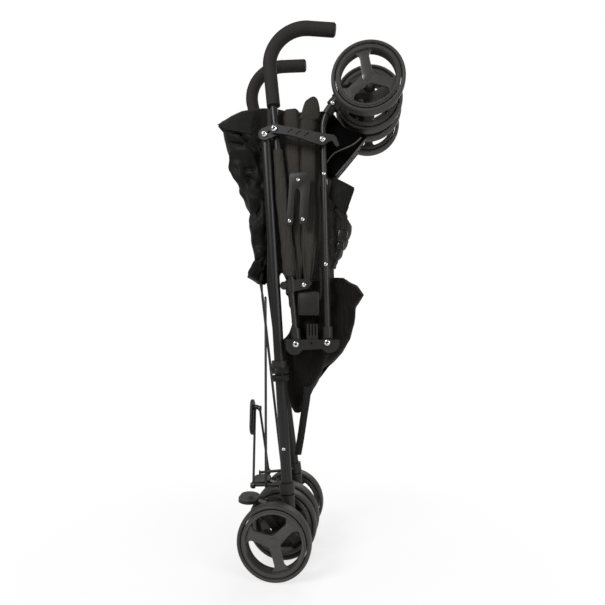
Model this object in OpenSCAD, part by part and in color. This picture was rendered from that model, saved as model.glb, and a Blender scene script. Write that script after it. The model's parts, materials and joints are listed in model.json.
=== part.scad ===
// Umbrella stroller, folded and upright as it is stored. +X is the front of the
// stroller, +Y its far side, +Z up. The origin is on the floor, midway between the
// rear wheels and under their axle. Millimetres.

/* [Wheels] */
// Diameter over the tyre
wheel_d = 142; // [136:1:148]
// Width of the tyre
wheel_w = 27; // [22:1:29]
// Thickness of the foam tyre, from rim to tread
tyre_t = 14; // [11:1:16]
// Distance of an outer wheel from the middle plane
outer_wheel_y = 108; // [106:1:114]
// Distance of an inner wheel from the middle plane
inner_wheel_y = 22; // [21:1:24]
// Diameter of the axle rods
axle_d = 8; // [6:0.5:10]
// Width of a wheel spoke
spoke_w = 15; // [11:1:18]

/* [Rear legs] */
// Outer diameter of the rear leg tube
rear_tube_d = 21; // [18:0.5:22]
// Wall of every round tube
tube_wall = 1.3; // [1:0.1:2]
// How far the leg leans back from upright, in degrees
rear_lean = 3.65; // [2.5:0.05:4.5]
// How far the leg's line passes in front of the axle
rear_offset = 22; // [18:0.5:26]
// Length from axle height up to the link bolt
rear_len = 795; // [780:1:810]

/* [Push frame] */
// Length of the side link between its two bolts
link_len = 22.5; // [21.5:0.5:26]
// Rise of the side link towards the push tube, in degrees
link_rise = 20; // [15:1:25]
// Outer diameter of the push tube
push_tube_d = 16; // [14:0.5:17]
// Lean of the push tube, in degrees
push_lean = 5.75; // [5:0.05:6.5]
// Length from the upper link bolt down to the knuckle bolt
push_len = 435; // [425:1:445]
// Length from the link bolt up to the start of the handle bend
handle_rise = 138; // [130:1:150]
// Radius of the handle bend at the middle of the tube
hook_r = 71; // [65:1:80]
// How far the handle turns, in degrees
hook_turn = 105; // [95:1:110]
// Straight length of the grip's end
hook_end = 55; // [45:1:65]
// Outer diameter of the foam grip
grip_d = 28; // [25:1:31]
// Straight length of foam below the bend
grip_skirt = 82; // [70:1:90]

/* [Front legs] */
// Distance between the two bolts of the knuckle plate
knuckle_span = 62; // [59:1:66]
// Rise of the knuckle plate towards the front leg, in degrees
knuckle_rise = 3.2; // [1:0.2:4]
// Thickness of the flat oval tube, seen from the side
oval_t = 11; // [10:0.5:12]
// Width of the flat oval tube, across the stroller
oval_w = 19; // [17:0.5:20]
// Lean of the front leg, in degrees
front_lean = 1.1; // [0.5:0.1:2]
// Straight length of the front leg from knuckle bolt to bend
front_len = 428; // [420:1:436]
// Radius of the bend above the front leg
bend_r = 66; // [60:1:72]
// Angle of that bend, in degrees
bend_turn = 45; // [43:1:47]
// Length along the swivel axis from the bend's end to the front axle
caster_drop = 73; // [70:1:77]
// Distance of the front axle from the swivel axis
caster_trail = 30; // [27:0.5:33]

/* [Fold] */
// Distance of each side frame from the middle plane
frame_y = 65; // [64:0.5:67]
// How far the far push tube leans behind the near one, in degrees
far_lean = 7; // [5:0.5:8]
// Length of a cross bar between its bolts
cross_len = 395; // [380:1:410]
// Length of half the foot strut, from pin to middle hinge
strut_len = 156; // [150:1:162]
// Height of the brace pin on the rear leg, from axle height
brace_up = 87; // [84:1:95]
// Height of the cross bar catch on the rear leg, from axle height
catch_up = 324; // [315:1:335]

/* [Latch] */
// Thickness of the latch arm
latch_t = 5; // [4:0.5:6]
// Height of the latch arm at its wide end
latch_h = 24; // [20:1:26]

/* [Hidden] */
$fn = 48;
run = 0.1;            // running clearance on the radius
gap = 0.4;            // clearance between plates that pass each other
bolt_d = 6;           // shank of a pivot bolt
head_d = 11.5;        // dome head of a pivot bolt
head_h = 3;
plate_t = 4;          // side link and knuckle plates
soft_y = 47;          // half width of the packed cloth
soft_sides = 40;      // points round a cloth ring

axle_z = wheel_d / 2;
rim_d = wheel_d - 2 * tyre_t;
pair_y = (outer_wheel_y + inner_wheel_y) / 2;
pair_gap = outer_wheel_y - inner_wheel_y - wheel_w;

// Points and directions in the side view are [x, z]
function up(lean) = [-sin(lean), cos(lean)];
function ahead(a) = [cos(a), sin(a)];
function turn(p, c, a) = c + [cos(a) * (p[0] - c[0]) - sin(a) * (p[1] - c[1]),
                              sin(a) * (p[0] - c[0]) + cos(a) * (p[1] - c[1])];
// The left one of the two points at distance ra from a and rb from b
function meet(a, ra, b, rb) =
    let (d = norm(b - a), along = (d * d + ra * ra - rb * rb) / (2 * d),
         side = sqrt(ra * ra - along * along), u = (b - a) / d)
    a + along * u + side * [-u[1], u[0]];
function angle_of(v) = atan2(v[1], v[0]);

rear_axle = [0, axle_z];
leg_foot = [rear_offset, axle_z];
rear_up = up(rear_lean);
rear_bolt = leg_foot + rear_len * rear_up;
link_bolt = rear_bolt + link_len * ahead(link_rise);
push_up = up(push_lean);
rod_bolt = link_bolt - push_len * push_up;
hook_start = link_bolt + handle_rise * push_up;
hook_centre = hook_start + hook_r * ahead(push_lean);
hook_from = 180 + push_lean - hook_turn;
hook_tip = hook_centre + hook_r * ahead(hook_from) + hook_end * ahead(hook_from - 90);
front_bolt = rod_bolt + knuckle_span * ahead(knuckle_rise);
front_up = up(front_lean);
bend_start = front_bolt + front_len * front_up;
bend_centre = bend_start + bend_r * ahead(front_lean);
bend_from = 180 + front_lean - bend_turn;
bend_end = bend_centre + bend_r * ahead(bend_from);
stem_a = bend_from - 90;
front_axle = bend_end + caster_drop * ahead(stem_a) + caster_trail * ahead(stem_a - 90);
latch_pin = front_bolt + (front_len - 26) * front_up;

// The far push tube leans about its knuckle bolt, and the far rear leg about its axle
far_link_bolt = turn(link_bolt, rod_bolt, far_lean);
far_rear_bolt = meet(rear_axle, norm(rear_bolt - rear_axle), far_link_bolt, link_len);
far_leg_lean = angle_of(far_rear_bolt - rear_axle) - angle_of(rear_bolt - rear_axle);

// Brace pins, cross bars and foot strut sit behind the legs, counted along the leg's own front to back line
brace_pin_y = 49;
near_bar_back = 46;
far_bar_back = 25;
near_strut_back = 72;
far_strut_back = 56;
strut_eye_t = 6;
boss_len = 20;
bar_t = 3;
bar_w = 11;
pin_d = 6;
collar_d = rear_tube_d + 9;
brace_at = leg_foot + brace_up * rear_up;
catch_at = leg_foot + catch_up * rear_up;

// Layers from the middle plane outwards
oval_y = frame_y + oval_w / 2;
link_y = frame_y + rear_tube_d / 2 + gap;
latch_y = link_y + plate_t + gap;
knuckle_y = oval_y + 1.2;

SIDES = ["near", "far"];
NODES = concat(
    [for (s = SIDES) for (n = ["rear_tube", "leg_foot", "rear_axle", "brace_brackets",
        "rear_outer_rim", "rear_outer_tyre", "rear_inner_rim", "rear_inner_tyre", "brake_pedal",
        "strut_rod", "cross_bar", "push_tube", "lower_rod", "grip", "side_link", "seat_bracket",
        "knuckle", "front_tube", "caster_socket", "caster_fork", "front_axle",
        "front_outer_rim", "front_outer_tyre", "front_inner_rim", "front_inner_tyre"]) str(s, "_", n)],
    ["foot_plate", "latch_arm", "latch_stud",
     "canopy", "seat_back", "seat_bundle", "basket", "calf_panel"]);
node = "all";

// Helpers: everything is drawn on the near side, where y is negative

// Local +Z along heading a in the side view, from point p
module along(p, a, y = -frame_y) translate([p[0], y, p[1]]) rotate([0, 90 - a, 0]) children();
// A flat outline in the side view, from y_in outwards by t
module plate(y_in, t) translate([0, -y_in, 0]) rotate([90, 0, 0]) linear_extrude(t) children();
// A round bar across the stroller, from y0 outwards to y1
module cross_pin(p, y0, y1, d) translate([p[0], -y0, p[1]]) rotate([90, 0, 0]) cylinder(d = d, h = y1 - y0);
// A profile swept round an arc in the side view, from angle a0 over sweep
module arc_sweep(c, r, a0, sweep) translate([c[0], -frame_y, c[1]]) rotate([90, 0, 0])
    rotate([0, 0, a0]) rotate_extrude(angle = sweep, $fn = 96) translate([r, 0]) children();
module oval(t, w) {
    square([t, w - t], center = true);
    for (s = [-1, 1]) translate([0, s * (w - t) / 2]) circle(d = t);
}
module at2(p) translate([p[0], p[1]]) children();
// A bar outline with round ends
module slot2(p, q, d) {
    at2(p) circle(d = d);
    at2(q) circle(d = d);
    at2((p + q) / 2) rotate(angle_of(q - p)) square([norm(q - p), d], center = true);
}
// A pivot bolt with its dome head outside
module bolt(p, y_from, y_to, d = bolt_d) {
    cross_pin(p, y_from, y_to, d);
    translate([p[0], -y_to, p[1]]) rotate([90, 0, 0]) intersection() {
        cylinder(d = head_d, h = head_h);
        translate([0, 0, head_h - 8]) sphere(r = 8);
    }
}
// The far side is the near one mirrored, with the lean that its group has
module far_turn(c, a) translate([c[0], 0, c[1]]) rotate([0, -a, 0]) translate([-c[0], 0, -c[1]])
    mirror([0, 1, 0]) children();
module far_rear() far_turn(rear_axle, far_leg_lean) children();
module far_push() far_turn(rod_bolt, far_lean) children();
module far_plain() mirror([0, 1, 0]) children();

// Wheels
module wheel_at(p, y, face, spin) translate([p[0], -y, p[1]]) rotate([90, 0, 0])
    mirror([0, 0, face < 0 ? 1 : 0]) rotate([0, 0, spin]) children();
window_r = rim_d / 2 - 8;
module spokes2() difference() {
    circle(d = rim_d - 6);
    difference() {
        circle(r = window_r);
        for (k = [0 : 2]) rotate(120 * k) translate([window_r / 2, 0])
            square([window_r + 2, spoke_w], center = true);
        difference() {
            circle(r = 29);
            for (k = [0 : 2]) rotate(60 + 120 * k) translate([37, 0]) circle(r = 20);
        }
    }
}
module rim_solid() difference() {
    union() {
        rotate_extrude($fn = 96) {
            translate([window_r, -wheel_w / 2 + 2.5]) square([rim_d / 2 - 3 - window_r, wheel_w - 5]);
            translate([window_r + 2, -wheel_w / 2 + 1]) square([rim_d / 2 - 5 - window_r, wheel_w - 2]);
            translate([window_r + 1, -3]) square([rim_d / 2 - window_r - 1, 6]);
        }
        translate([0, 0, 2]) linear_extrude(6) spokes2();
        translate([0, 0, -wheel_w / 2 + 0.5]) cylinder(d = 24, h = wheel_w - 4);
        translate([0, 0, wheel_w / 2 - 6]) cylinder(d1 = 24, d2 = 15, h = 4);
    }
    translate([0, 0, -wheel_w / 2]) cylinder(d = axle_d + 2 * run, h = wheel_w - 4.5);
}
module tyre_solid() rotate_extrude($fn = 96) difference() {
    union() {
        translate([rim_d / 2 - 3 + run, -wheel_w / 2 + 1]) square([tyre_t - 3, wheel_w - 2]);
        translate([rim_d / 2, -wheel_w / 2 + 6]) square([tyre_t, wheel_w - 12]);
        for (s = [-1, 1]) translate([wheel_d / 2 - 6, s * (wheel_w / 2 - 6)]) circle(r = 6);
    }
    translate([rim_d / 2 - 6, -3 - run]) square([6 + run, 6 + 2 * run]);
}
rear_spin = 45;
front_spin = 100;
module rear_outer_rim() color("#2c2d2f") wheel_at(rear_axle, outer_wheel_y, 1, rear_spin) rim_solid();
module rear_outer_tyre() color("#1d1d1e") wheel_at(rear_axle, outer_wheel_y, 1, rear_spin) tyre_solid();
module rear_inner_rim() color("#2c2d2f") wheel_at(rear_axle, inner_wheel_y, -1, rear_spin) rim_solid();
module rear_inner_tyre() color("#1d1d1e") wheel_at(rear_axle, inner_wheel_y, -1, rear_spin) tyre_solid();
module front_outer_rim() color("#2c2d2f") wheel_at(front_axle, outer_wheel_y, 1, front_spin) rim_solid();
module front_outer_tyre() color("#1d1d1e") wheel_at(front_axle, outer_wheel_y, 1, front_spin) tyre_solid();
module front_inner_rim() color("#2c2d2f") wheel_at(front_axle, inner_wheel_y, -1, front_spin) rim_solid();
module front_inner_tyre() color("#1d1d1e") wheel_at(front_axle, inner_wheel_y, -1, front_spin) tyre_solid();
// An axle reaches into both hubs, short of their closed caps
axle_short = 5.5;
module axle_solid(p)
    cross_pin(p, inner_wheel_y - wheel_w / 2 + axle_short, outer_wheel_y + wheel_w / 2 - axle_short, axle_d);
module rear_axle_rod() color("silver") axle_solid(rear_axle);
module front_axle_rod() color("silver") axle_solid(front_axle);

// Rear leg
foot_from = 30;
foot_top = 74;
hub_d = 27;
pedal_pin = rear_axle + [-30, 50];
pedal_barrel_w = 24;
lug_t = 5;
module rear_tube() color("#232426") difference() {
    along(leg_foot + foot_from * rear_up, 90 + rear_lean) difference() {
        cylinder(d = rear_tube_d, h = rear_len - foot_from + 7);
        translate([0, 0, -1]) cylinder(d = rear_tube_d - 2 * tube_wall, h = rear_len);
    }
    cross_pin(rear_bolt, frame_y - rear_tube_d, frame_y + rear_tube_d, bolt_d + 2 * run);
}
module leg_foot_solid() color("#26272a") difference() {
    union() {
        cross_pin(rear_axle, pair_y - pair_gap / 2 + 0.6, pair_y + pair_gap / 2 - 0.6, hub_d);
        along(leg_foot + 10 * rear_up, 90 + rear_lean) cylinder(d = rear_tube_d + 7, h = foot_top - 10);
        plate(frame_y - 10, 20) difference() {
            polygon([rear_axle + [-6, -11], leg_foot + [8, -4], leg_foot + [10, 34] - [2, 0],
                     leg_foot + [-6, 44], rear_axle + [-12, 6]]);
            at2((rear_axle + leg_foot) / 2 + [1, 22]) circle(d = 7);
        }
        for (y = [pedal_barrel_w / 2 + gap, -pedal_barrel_w / 2 - gap - lug_t])
            plate(frame_y + y, lug_t) slot2(pedal_pin, rear_axle + [2, 6], 15);
    }
    along(leg_foot + foot_from * rear_up, 90 + rear_lean) cylinder(d = rear_tube_d + run, h = foot_top);
    cross_pin(rear_axle, 0, outer_wheel_y, axle_d + run);
    cross_pin(pedal_pin, frame_y - 30, frame_y + 30, 5 + 2 * run);
    // room for the pedal's arm between the lugs
    plate(frame_y - pedal_barrel_w / 2 - gap, pedal_barrel_w + 2 * gap) at2(pedal_pin) circle(d = 24);
}
module collar(p, h) along(p, 90 + rear_lean) difference() {
    translate([0, 0, -h / 2]) cylinder(d = collar_d, h = h);
    translate([0, 0, -h]) cylinder(d = rear_tube_d + run, h = 2 * h);
}
// The lower collar carries the brace pin, the upper one catches the opposite cross bar
module brace_brackets() color("#1f2022") {
    difference() {
        union() {
            collar(brace_at, 20);
            along(brace_at, 180 + rear_lean, -brace_pin_y) {
                cylinder(d = 13, h = boss_len);
                cylinder(d = pin_d, h = near_strut_back + 4);
                translate([0, 0, near_strut_back + 3.4]) cylinder(d = 10, h = 2);
            }
        }
        along(brace_at - 20 * rear_up, 90 + rear_lean) cylinder(d = rear_tube_d + run, h = 40);
    }
    difference() {
        union() {
            collar(catch_at, 22);
            along(catch_at, 180 + rear_lean, -frame_y + 9) cylinder(d = 12, h = 19);
        }
        along(catch_at - 20 * rear_up, 90 + rear_lean) cylinder(d = rear_tube_d + run, h = 40);
    }
}
module brake_pedal() color("#232426") {
    cross_pin(pedal_pin, frame_y - pedal_barrel_w / 2 - lug_t, frame_y + pedal_barrel_w / 2 + lug_t, 5);
    cross_pin(pedal_pin, frame_y - pedal_barrel_w / 2, frame_y + pedal_barrel_w / 2, 12);
    plate(frame_y - 7, 14) polygon([for (q = [[2, 5], [-3, -5], [-26, 9], [-26, 15]]) pedal_pin + q]);
    translate([pedal_pin[0] - 28, -frame_y, pedal_pin[1] + 9]) rotate([0, 4, 0]) difference() {
        linear_extrude(6.5) union() {
            for (s = [-1, 1]) translate([-2, s * 9]) circle(d = 38);
            translate([-2, 0]) square([38, 18], center = true);
        }
        for (k = [-2 : 2]) translate([-2 + 6 * k, 0, 5.7]) linear_extrude(2) square([2.4, 30], center = true);
    }
}

// Folding brace behind the rear legs
strut_a = asin(brace_pin_y / strut_len);
cross_a = asin(2 * brace_pin_y / cross_len);
far_brace_at = turn(brace_at, rear_axle, far_leg_lean);
// Local +Z up a bar that leans inwards by a from the brace pin, with local +X towards the leg.
// Both sides' bars move in planes that lie along the near leg.
module from_pin(back, a)
    translate([brace_at[0], -brace_pin_y, brace_at[1]] + back * [-cos(rear_lean), 0, -sin(rear_lean)])
    rotate([0, -rear_lean, 0]) rotate([-a, 0, 0]) children();
module far_bars(back) translate([far_brace_at[0], 0, far_brace_at[1]]
        + back * [-cos(rear_lean + far_leg_lean), 0, -sin(rear_lean + far_leg_lean)])
    mirror([0, 1, 0]) translate([-brace_at[0], 0, -brace_at[1]]) children();
module eye(d, t) translate([-t / 2, 0, 0]) rotate([0, 90, 0]) cylinder(d = d, h = t);
module strut_half(back, eye_t, slack, hinge_boss) from_pin(back, strut_a) difference() {
    union() {
        eye(13, 6);
        translate([0, 0, 5]) cylinder(d = 5, h = strut_len - 9);
        translate([0, 0, strut_len]) eye(11, eye_t);
        translate([hinge_boss / 2, 0, strut_len]) eye(10, eye_t + hinge_boss - 0.4);
    }
    eye(pin_d + slack, 20);
    translate([0, 0, strut_len]) eye(4, 20);
}
// The near half's middle eye reaches forward to the far one
module strut_rod(back, slack = 2 * run) color("#3a3b3d")
    strut_half(back, strut_eye_t, slack, back > 0 ? 4 : 0);
// The foot plate hangs beside the middle hinge on the near half
module foot_plate() color("#1d1e20") from_pin(near_strut_back, strut_a)
    translate([-strut_eye_t / 2 - run, 0, strut_len - 20]) rotate([0, -90, 0]) difference() {
        linear_extrude(4) union() {
            square([40, 34], center = true);
            for (s = [-1, 1]) translate([s * 20, 0]) circle(d = 34);
        }
        for (k = [-2 : 2]) translate([9 * k, 0, 3]) linear_extrude(2) square([3, 26], center = true);
    }
module cross_bar(back, tip, slack = 2 * run) color("#303134") from_pin(back, cross_a) difference() {
    union() {
        translate([-bar_t / 2, 0, 0]) rotate([90, 0, 90]) linear_extrude(bar_t)
            slot2([0, 0], [0, cross_len], bar_w);
        if (tip > 0) translate([0, 0, cross_len + 4]) cylinder(d1 = 4, d2 = 7, h = tip);
    }
    eye(pin_d + slack, 20);
    for (z = [cross_len / 2, cross_len]) translate([0, 0, z]) eye(4, 20);
}

// Push frame
bracket_at = link_bolt - 319 * push_up;
rod_top = bracket_at + 10 * push_up;
tip_cap = 8;
bend_swell = 0.4;     // a bend is this much thicker than its straight ends, which run a little way into it
module push_path(d) {
    along(rod_top, 90 + push_lean) cylinder(d = d, h = norm(hook_start - rod_top) + 2);
    arc_sweep(hook_centre, hook_r, hook_from, hook_turn) circle(d = d + bend_swell);
    along(hook_tip + tip_cap * ahead(hook_from + 90), hook_from + 90)
        cylinder(d = d, h = hook_end - tip_cap + 2);
}
module push_tube() color("#26272a") difference() {
    push_path(push_tube_d);
    along(rod_top - push_up, 90 + push_lean)
        cylinder(d = push_tube_d - 2 * tube_wall, h = norm(hook_start - rod_top) - 12);
    cross_pin(link_bolt, frame_y - push_tube_d, frame_y + push_tube_d, bolt_d + run);
}
module grip() color("#1b1b1c") difference() {
    union() {
        along(hook_start - grip_skirt * push_up, 90 + push_lean) cylinder(d = grip_d, h = grip_skirt + 2);
        arc_sweep(hook_centre, hook_r, hook_from, hook_turn) circle(d = grip_d + bend_swell);
        along(hook_tip + 3 * ahead(hook_from + 90), hook_from + 90) cylinder(d = grip_d, h = hook_end - 1);
        along(hook_tip + 3 * ahead(hook_from + 90), hook_from - 90)
            cylinder(d1 = grip_d, d2 = grip_d - 6, h = 3);
    }
    push_path(push_tube_d + run);
}
// The side link carries both its bolts, and the latch turns on the outer end of the upper one
module side_link(pinned = true) color("#2b2c2e") {
    plate(link_y, plate_t) difference() {
        slot2(rear_bolt, link_bolt, 25);
        slot2(rear_bolt + [5, 1.8], link_bolt - [5, 1.8], 4);
    }
    bolt(rear_bolt, frame_y, link_y + plate_t);
    if (pinned) bolt(link_bolt, frame_y, latch_y + latch_t + gap);
    else bolt(link_bolt, frame_y + push_tube_d / 2 + gap, link_y + plate_t);
}
cup_h = 20;
// A moulded cup on the end of a flat oval tube, with the tongue that turns on the knuckle bolt
module tube_cup(p, a) {
    along(p + 13 * ahead(a), a) linear_extrude(cup_h - 2) difference() {
        oval(oval_t + 8, oval_w + 1.6);
        oval(oval_t + run, oval_w + run);
    }
    along(p + 9 * ahead(a), a) linear_extrude(4) oval(oval_t + 8, oval_w + 1.6);
    plate(frame_y - 6, 12) difference() {
        slot2(p, p + 10 * ahead(a), oval_t + 7);
        at2(p) circle(d = bolt_d + 2 * run);
    }
}
module lower_rod() color("#2a2b2d") {
    along(rod_bolt + 13 * push_up, 90 + push_lean)
        linear_extrude(norm(rod_top - rod_bolt) - 13 - gap) oval(oval_t, oval_w);
    tube_cup(rod_bolt, 90 + push_lean);
}
module seat_bracket() color("#26272a") difference() {
    union() {
        along(bracket_at - 12 * push_up, 90 + push_lean) cylinder(d = oval_w + 5, h = 24);
        plate(frame_y + 1, 9) difference() {
            polygon([bracket_at + [0, 11], bracket_at + [38, 15], bracket_at + [43, 4],
                     bracket_at + [34, -6], bracket_at + [0, -12]]);
            at2(bracket_at + [31, 4]) circle(d = 4);
        }
        plate(frame_y + 1, 9) slot2(bracket_at + [-14, 0], bracket_at + [-14, 2], 14);
    }
    along(rod_top, 90 + push_lean) cylinder(d = push_tube_d + run, h = 40);
    along(bracket_at - 30 * push_up, 90 + push_lean)
        linear_extrude(40 + gap) oval(oval_t + run, oval_w + run);
}

// Knuckle: outer plate with a waved lower edge, a ribbed block behind it and both bolts
module knuckle_outline() difference() {
    union() {
        slot2(rod_bolt, front_bolt, 24);
        at2(rod_bolt + [-3, -4]) circle(d = 34);
        at2(front_bolt + [5, -2]) circle(d = 36);
        polygon([rod_bolt + [-21, 9], front_bolt + [24, 9], front_bolt + [23, -4], rod_bolt + [-19, -8]]);
    }
    at2((rod_bolt + front_bolt) / 2 + [0, -62]) circle(r = 48, $fn = 96);
    at2(rod_bolt + [-60, 9]) square([240, 30]);
    at2((rod_bolt + front_bolt) / 2) circle(d = 4);
}
block_w = 22;
module knuckle() color("#2b2c2e") {
    plate(knuckle_y, plate_t + 0.5) knuckle_outline();
    for (p = [rod_bolt, front_bolt]) bolt(p, frame_y - 8, knuckle_y + plate_t + 0.5);
    at = (rod_bolt + front_bolt) / 2 + [1, 0];
    plate(frame_y - 8, knuckle_y - frame_y + 8) difference() {
        at2(at + [0, 14]) square([block_w, 48], center = true);
        for (k = [-1 : 1]) at2(at + [6 * k, 40]) square([2.2, 50], center = true);
        at2(at + [0, 1]) circle(d = 4);
    }
}

// Front leg and caster
module front_tube() color("#2a2b2d") {
    along(front_bolt + 13 * front_up, 90 + front_lean) linear_extrude(front_len - 13) oval(oval_t, oval_w);
    arc_sweep(bend_centre, bend_r, bend_from, bend_turn) oval(oval_t, oval_w);
    along(bend_start - 4 * front_up, 90 + front_lean) cylinder(d = 6, h = 8);
    tube_cup(front_bolt, 90 + front_lean);
}
module latch_stud() color("silver")
    cross_pin(latch_pin, oval_y, latch_y - gap, 9);
socket_len = 24;
stem_d = 10;
module caster_socket() color("#26272a") difference() {
    union() {
        along(bend_end, stem_a) cylinder(d = 29, h = socket_len);
        along(bend_end + (socket_len - 8) * ahead(stem_a), stem_a) cylinder(d = 33, h = 8);
        arc_sweep(bend_centre, bend_r, bend_from, 17) oval(oval_t + 7, oval_w + 7);
    }
    arc_sweep(bend_centre, bend_r, bend_from, bend_turn) oval(oval_t + run, oval_w + run);
    along(bend_end + 3 * ahead(stem_a), stem_a) cylinder(d = stem_d + 2 * run, h = 60);
}
head_at = bend_end + (socket_len + gap) * ahead(stem_a);
module caster_fork() color("#232426") difference() {
    union() {
        along(bend_end + 4 * ahead(stem_a), stem_a) cylinder(d = stem_d, h = socket_len);
        along(head_at, stem_a) cylinder(d = 31, h = 9);
        along(head_at + 9 * ahead(stem_a), stem_a) cylinder(d1 = 31, d2 = 24, h = 7);
        plate(frame_y - 12, 24) difference() {
            union() {
                slot2(head_at + 13 * ahead(stem_a), front_axle, 23);
                at2(front_axle) circle(d = 27);
                slot2(head_at + 10 * ahead(stem_a) + 8 * ahead(stem_a - 90), front_axle, 16);
            }
            at2((head_at + front_axle) / 2 + 3 * ahead(stem_a)) circle(d = 8);
        }
        cross_pin(front_axle, pair_y - pair_gap / 2 + 0.6, pair_y + pair_gap / 2 - 0.6, 21);
    }
    cross_pin(front_axle, 0, outer_wheel_y, axle_d + run);
}

// Storage latch: a curved arm with three finger dimples and a tab past the stud
function arc2(c, r, a0, a1, n) = [for (k = [0 : n]) c + r * ahead(a0 + (a1 - a0) * k / n)];
module latch_outline() {
    reach = latch_pin - link_bolt;
    n = norm(reach);
    at2(link_bolt) rotate(angle_of(reach)) difference() {
        polygon(concat(
            arc2([0, 0], 9, 100, 260, 14),
            [[0.18 * n, -7], [0.38 * n, -6.4], [0.58 * n, -7.4], [0.78 * n, -10.2]],
            arc2([n, 0], latch_h / 2, 250, 300, 5), [[n + 13, -1.5], [n + 19, 1.2], [n + 24, -2.5]],
            arc2([n + 31, -4], 4, 225, 400, 8), [[n + 29, 4.5], [n + 25, 10.5], [n + 20, 13], [n + 10, 12.8]],
            [[n, latch_h / 2], [0.5 * n, 10.5]]));
        circle(d = bolt_d + 2 * run);
    }
}
module latch_arm() color("#303235") difference() {
    plate(latch_y, latch_t) latch_outline();
    for (k = [0 : 2]) plate(latch_y + latch_t - 1.5, 3)
        at2(link_bolt + (0.34 + 0.17 * k) * (latch_pin - link_bolt) + [0, 1.4]) rotate(34)
            square([11, 6], center = true);
}

// Cloth: each bundle is lofted through rings that lie level, from the bottom up
function ring_table(rows, t) =
    let (n = len(rows) - 1, f = min(t * n, n - 0.0001), i = floor(f), u = f - i, s = u * u * (3 - 2 * u))
    rows[i] * (1 - s) + rows[i + 1] * s;
// One ring: [z, x low, x high, y near, y far], with folds of depth amp that drift up the bundle
function cloth_ring(r, folds, amp, drift, square_p) =
    [for (k = [0 : soft_sides - 1])
        let (a = 360 * k / soft_sides, c = cos(a), s = sin(a),
             w = 1 - amp * (0.5 + 0.5 * sin(folds * a + drift * r[0])),
             cx = sign(c) * pow(abs(c), square_p), sy = sign(s) * pow(abs(s), square_p))
        [(r[1] + r[2]) / 2 + w * cx * (r[2] - r[1]) / 2,
         (r[3] + r[4]) / 2 + w * sy * (r[4] - r[3]) / 2, r[0]]];
module loft(rings) {
    m = len(rings);
    n = soft_sides;
    ends = [for (e = [0, m - 1]) [for (q = [0 : 2]) [for (p = rings[e]) p[q]] * [for (p = rings[e]) 1] / n]];
    points = concat([for (r = rings) each r], ends);
    walls = [for (i = [0 : m - 2]) for (k = [0 : n - 1])
        let (a = i * n + k, b = i * n + (k + 1) % n)
        each [[a, a + n, b], [b, a + n, b + n]]];
    low = [for (k = [0 : n - 1]) [m * n, k, (k + 1) % n]];
    high = [for (k = [0 : n - 1]) [m * n + 1, (m - 1) * n + (k + 1) % n, (m - 1) * n + k]];
    polyhedron(points = points, faces = concat(walls, low, high), convexity = 6);
}
module cloth(rows, steps, folds, amp, drift, square_p = 0.7)
    loft([for (i = [0 : steps]) cloth_ring(ring_table(rows, i / steps), folds, amp, drift, square_p)]);

hood_low = rear_bolt[1] - 296;
module canopy() color("#191919") cloth([
    [hood_low, -66, -40, -22, 22], [hood_low + 24, -86, -30, -38, 38],
    [hood_low + 95, -80, -26, -soft_y, soft_y], [hood_low + 157, -84, -24, -soft_y, soft_y],
    [hood_low + 207, -104, -22, -soft_y, soft_y],
    [hood_low + 255, -126, -21, -soft_y, soft_y], [hood_low + 330, -136, -14, -60, soft_y],
    [hood_low + 366, -150, -6.7, -66, 44], [hood_low + 388, -120, -34, -40, 30]], 18, 9, 0.16, 1.1);
function tube_x(z) = link_bolt[0] + (link_bolt[1] - z) * tan(push_lean);
seat_low = bracket_at[1] + 15.5;
seat_x1 = front_bolt[0] - 18;
function seat_row(up, y) = let (z = seat_low + up)
    [z, tube_x(z) + push_tube_d / 2 + 3, seat_x1 - up * tan(front_lean), y, soft_y];
module seat_back() color("#1c1c1c") cloth([
    seat_row(0, -74), seat_row(30, -72), seat_row(140, -66), seat_row(250, -66),
    seat_row(340, -64), seat_row(372, -52)], 14, 10, 0.1, 0.25, 0.45);
module seat_bundle() color("#161616") cloth([
    [600.5, 106, 126, -26, 26], [640, 104, 138, -soft_y, soft_y], [690, 103, 147, -soft_y, soft_y],
    [730, 103, 142, -soft_y, soft_y], [770, 104, 128, -40, 40]], 11, 8, 0.18, 3);
module basket() color("#171717") cloth([
    [240, 24, 44, -20, 20], [285, 24, 64, -38, 38], [343, 24, 99, -soft_y, soft_y],
    [420, 14, 133, -54.9, soft_y], [500, 16, 155, -54.9, soft_y], [540, 60, 166, -soft_y, soft_y],
    [572, 96, 158, -44, 44], [600, 104, 136, -30, 30]], 14, 6, 0.1, 0.8);
calf_y = frame_y - oval_w / 2 - 0.5;
module calf_panel() color("#121212") plate(-calf_y, 2 * calf_y) polygon([
    front_bolt + [-8, 366], front_bolt + [20, 352], front_bolt + [80, 420], front_bolt + [52, 428],
    front_bolt + [30, 438], front_bolt + [12, 446], front_bolt + [-8, 440]]);

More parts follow.
